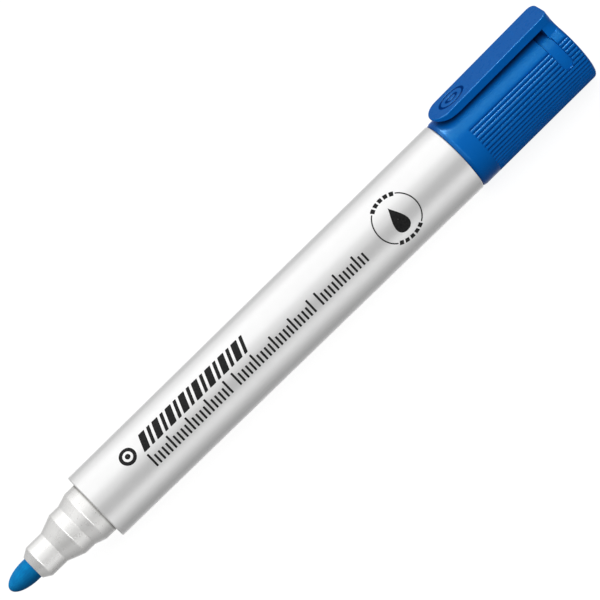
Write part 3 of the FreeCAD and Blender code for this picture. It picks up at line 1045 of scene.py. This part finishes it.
def nib_fibre():
    """Ink-soaked bonded fibre: fine strands along the nib, dull surface, and painted shade where it faces
    down.
    """
    material, nodes = new_material("inked_fibre")
    strands = noise(nodes, 1000, 4, stretch=(0.5, 5, 5), roughness=0.6)
    share = spread(nodes, calc(nodes, "ADD", strands, noise(nodes, 600, 3)), 0, 1, 0.7, 1.3)
    plain = mixed(nodes, share, (0.001, 0.2, 0.56), (0.002, 0.34, 0.8))
    # Painted shade: the colour darkens where the surface faces down.
    normal = nodes.add("ShaderNodeNewGeometry").outputs["Normal"]
    upward = nodes.add("ShaderNodeSeparateXYZ", {"Vector": normal}).outputs["Z"]
    finish_material(nodes, {
        "Base Color": mixed(nodes, spread(nodes, upward, 0, 1, -0.3, 0.8), (0.001, 0.12, 0.33), plain),
        "Roughness": 0.6,
        "IOR": 1.4,
        "Specular IOR Level": 0.12,
        "Normal": bumped(nodes, strands, 0.6, 0.05),
    })
    return material


def reservoir_fibre():
    """Ink-stained fibre wadding of the core."""
    material, nodes = new_material("reservoir_wadding")
    strands = noise(nodes, 900, 4, stretch=(0.25, 4, 4), roughness=0.7)
    finish_material(nodes, {
        "Base Color": mixed(nodes, spread(nodes, strands, 0, 1), (0.01, 0.06, 0.25), (0.02, 0.16, 0.5)),
        "Roughness": 0.9,
        "Normal": bumped(nodes, strands, 0.8, 0.08),
    })
    return material


def wrap_film():
    """Clear film, slightly creased."""
    material, nodes = new_material("clear_film")
    creases = noise(nodes, 220, 4, stretch=(0.3, 1, 1))
    finish_material(nodes, {
        "Base Color": mixed(nodes, spread(nodes, creases, 0, 1), (0.7, 0.75, 0.8), (0.8, 0.84, 0.88)),
        "Roughness": 0.15,
        "Alpha": 0.35,
        "Normal": bumped(nodes, creases, 0.3, 0.05),
    })
    return material


def liner_plastic():
    """Milky natural plastic of the inner cup."""
    material, nodes = new_material("milky_plastic")
    cloud = noise(nodes, 140, 3)
    finish_material(nodes, {
        "Base Color": mixed(nodes, spread(nodes, cloud, 0, 1), (0.66, 0.66, 0.64), (0.72, 0.72, 0.70)),
        "Roughness": spread(nodes, noise(nodes, 800, 3), 0.3, 0.4),
        "Normal": bumped(nodes, noise(nodes, 3600, 3), 0.1, 0.01),
    })
    return material


def print_ink():
    """Black printed ink, slightly uneven in cover."""
    material, nodes = new_material("black_ink")
    cover = noise(nodes, 2600, 3)
    finish_material(nodes, {
        "Base Color": mixed(nodes, spread(nodes, cover, 0, 1), (0.008, 0.008, 0.009), (0.022, 0.022, 0.022)),
        "Roughness": spread(nodes, cover, 0.36, 0.5),
        "Specular IOR Level": 0.12,
        "Normal": bumped(nodes, cover, 0.1, 0.01),
    })
    return material


def floor_paper():
    """Pale paper with a faint grain, lit evenly from within."""
    material, nodes = new_material("pale_floor")
    grain = noise(nodes, 900, 3)
    finish_material(nodes, {
        "Base Color": mixed(nodes, spread(nodes, grain, 0, 1), (0.2, 0.2, 0.2), (0.21, 0.21, 0.21)),
        "Roughness": 0.9,
        "Specular IOR Level": 0.0,
        "Emission Color": (1, 1, 1, 1),
        "Emission Strength": 0.9,
    })
    return material


def dress(piece, material):
    """Gives a piece its one material."""
    piece.data.materials.clear()
    piece.data.materials.append(material)


def dress_cad(node, material):
    """Gives a carried-over CAD node its material."""
    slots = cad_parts[node].data.materials
    if len(slots) == 0:
        slots.append(material)
    for i in range(len(slots)):
        slots[i] = material


# ---------------------------------------------------------------- stage

# Height of a direction, from -1 (straight down) to 1 (straight up), and the brightness there
SOFT_LIGHT = (
    (-1.0, 0.08),
    (-0.45, 0.08),
    (0.0, 0.5),
    (0.3, 0.9),
    (1.0, 0.7),
)
MIRRORED_LIGHT = (
    (-1.0, 0.45),
    (-0.75, 1.2),
    (-0.5, 1.65),
    (-0.3, 1.2),
    (-0.1, 0.45),
    (0.35, 0.45),
    (0.5, 1.05),
    (0.75, 1.25),
    (0.9, 2.0),
    (1.0, 1.8),
)
# Share of the mirrored brightness that is left straight towards the writing tip
DIM_END = 0.35


def make_floor():
    """Wide plain floor under the marker. Its light on the marker is part of the surroundings instead."""
    floor_z = cad_low.z
    side = 3.0
    mesh = bpy.data.meshes.new("floor")
    corners = [(-side, -side, floor_z), (side, -side, floor_z), (side, side, floor_z), (-side, side, floor_z)]
    mesh.from_pydata(corners, [], [(0, 1, 2, 3)])
    floor = bpy.data.objects.new("floor", mesh)
    bpy.context.scene.collection.objects.link(floor)
    dress(floor, floor_paper())
    floor.visible_diffuse = False
    floor.visible_glossy = False
    floor.visible_shadow = False


def brightness_by_height(nodes, height, stops):
    """Brightness of the surroundings by the height of a direction, from -1 straight down to 1 straight up."""
    brightest = max(brightness for _, brightness in stops)
    share = nodes.add("ShaderNodeMapRange", {"Value": height, "From Min": -1.0, "From Max": 1.0})
    ramp = nodes.add("ShaderNodeValToRGB", {"Fac": share.outputs["Result"]})
    elements = ramp.color_ramp.elements
    while len(elements) < len(stops):
        elements.new(0.5)
    for element, (at, brightness) in zip(elements, stops):
        element.position = (at + 1) / 2
        element.color = (brightness / brightest,) * 3 + (1,)
    scaled = nodes.add("ShaderNodeMath", {0: ramp.outputs["Color"], 1: brightest}, operation="MULTIPLY")
    return scaled.outputs["Value"]


def either(nodes, choice, when_0, when_1):
    """Value when_0 or when_1, as the choice is 0 or 1."""
    made = nodes.add("ShaderNodeMix", {"Factor": choice}, data_type="FLOAT")
    nodes.give(made.inputs["A"], when_0)
    nodes.give(made.inputs["B"], when_1)
    return made.outputs["Result"]


def make_surroundings():
    """Soft studio light from above that fades below the horizon, and apart from it what shiny surfaces
    mirror: a bright ceiling, a dim wall at eye level and a bright table top. The camera sees plain white."""
    world = bpy.data.worlds.new("surroundings")
    world.use_nodes = True
    world.node_tree.nodes.clear()
    world.cycles.sampling_method = "NONE"
    nodes = Nodes(world.node_tree)
    direction = nodes.add("ShaderNodeTexCoord").outputs["Generated"]
    axes = nodes.add("ShaderNodeSeparateXYZ", {"Vector": direction})
    soft = brightness_by_height(nodes, axes.outputs["Z"], SOFT_LIGHT)
    mirrored = brightness_by_height(nodes, axes.outputs["Z"], MIRRORED_LIGHT)
    towards_tip = spread(nodes, axes.outputs["X"], DIM_END, 1.0, -0.7, -0.1)
    dimmed = calc(nodes, "MULTIPLY", mirrored, towards_tip)
    ray = nodes.add("ShaderNodeLightPath")
    light = either(nodes, ray.outputs["Is Glossy Ray"], soft, dimmed)
    seen = either(nodes, ray.outputs["Is Camera Ray"], light, 1.0)
    background = nodes.add("ShaderNodeBackground", {"Color": (1, 1, 1, 1), "Strength": seen})
    output = nodes.add("ShaderNodeOutputWorld")
    world.node_tree.links.new(background.outputs["Background"], output.inputs["Surface"])
    bpy.context.scene.world = world


def make_strip_light(name, lit_piece, towards, along, distance, length, width, brightness, colour):
    """Strip light that only one piece mirrors. towards leads from the marker to it, along is its length."""
    data = bpy.data.lights.new(name, "AREA")
    data.shape = "RECTANGLE"
    data.size = length
    data.size_y = width
    data.energy = 4 * brightness * length * width
    data.color = colour
    light = bpy.data.objects.new(name, data)
    out = Vector(towards).normalized()
    side = Vector(along).normalized()
    turn = Matrix((side, out.cross(side), out)).transposed()
    marker_middle = Vector((0.05, 0, 0))
    light.matrix_world = Matrix.Translation(marker_middle + out * distance) @ turn.to_4x4()
    light.visible_diffuse = False
    bpy.context.scene.collection.objects.link(light)
    lit = bpy.data.collections.new("lit_by_" + name)
    lit.objects.link(lit_piece)
    light.light_linking.receiver_collection = lit


def make_strip_lights(cap_piece, nose_piece):
    """Strips above the clip for ribs and edges, and strips before the tip end for rims and tiers."""
    above = 0.7
    above_length = 0.5
    for name, turn, width, brightness, colour in (
        ("back_strip", math.radians(-20), 0.24, 170, (0.4, 0.75, 1.0)),
        ("top_strip", math.radians(11), 0.36, 15, (0.4, 1.0, 0.7)),
    ):
        towards = (0.15, -math.sin(turn), math.cos(turn))
        make_strip_light(name, cap_piece, towards, (1, 0, 0), above, above_length, width, brightness, colour)
    before = 1.5
    before_length = 5.2
    before_width = 0.36
    turn = math.radians(40)
    along = (0, -math.cos(turn), -math.sin(turn))
    for name, piece, slope, brightness, colour in (
        ("end_strip_cap", cap_piece, -0.3, 45, (0.3, 0.75, 1.0)),
        ("end_strip_nose", nose_piece, -0.45, 4, (1.0, 1.0, 1.0)),
    ):
        towards = (slope, -math.sin(turn), math.cos(turn))
        make_strip_light(name, piece, towards, along, before, before_length, before_width, brightness, colour)


def make_camera():
    """Long lens beside and above the marker, turned so that the marker rises to the right."""
    distance = 0.750
    tilt = math.radians(58.5)
    roll = math.radians(44.25)
    place = Vector((0, -distance * math.sin(tilt), distance * math.cos(tilt)))
    aim = Vector((0.05507, 0.0005, 0.0009))
    look = (aim - place).normalized()
    along = Vector((1, 0, 0)) - look * look.x
    along.normalize()
    across = look.cross(along)
    across = -across if across.z > 0 else across
    right = along * math.cos(roll) + across * math.sin(roll)
    up = along * math.sin(roll) - across * math.cos(roll)
    turn = Matrix((right, up, -look)).transposed()
    data = bpy.data.cameras.new("camera")
    data.sensor_width = 36
    data.lens = 237.93
    data.clip_start = 0.05
    data.clip_end = 20
    camera = bpy.data.objects.new("camera", data)
    camera.matrix_world = Matrix.Translation(place) @ turn.to_4x4()
    bpy.context.scene.collection.objects.link(camera)
    bpy.context.scene.camera = camera


# ---------------------------------------------------------------- put together


def install(piece, material, body, node=None):
    """Dresses a piece, rides it on a body and, where a CAD node is given, puts it in that node's place."""
    dress(piece, material)
    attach(piece, body)
    if node:
        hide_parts(node)
    return piece


blue = blue_plastic()
ink = print_ink()

install(make_barrel(), barrel_plastic(), "marker_body", "barrel")
nose = install(make_nose(), nose_plastic(), "marker_body", "nose_cone")
install(make_nib(), nib_fibre(), "marker_body", "nib")
install(make_rear_plug(), blue, "marker_body", "rear_plug")
install(make_cap_liner(), liner_plastic(), "cap_inner", "cap_liner")
cap = install(make_cap_shell(), blue, "cap_outer", "cap_shell")
for graphic in (make_heading(), make_line(), make_badge()):
    install(graphic, ink, "marker_body")

dress_cad("ink_reservoir", reservoir_fibre())
dress_cad("reservoir_film", wrap_film())

make_floor()
make_surroundings()
make_strip_lights(cap, nose)
make_camera()
bpy.context.scene.view_settings.view_transform = "Standard"
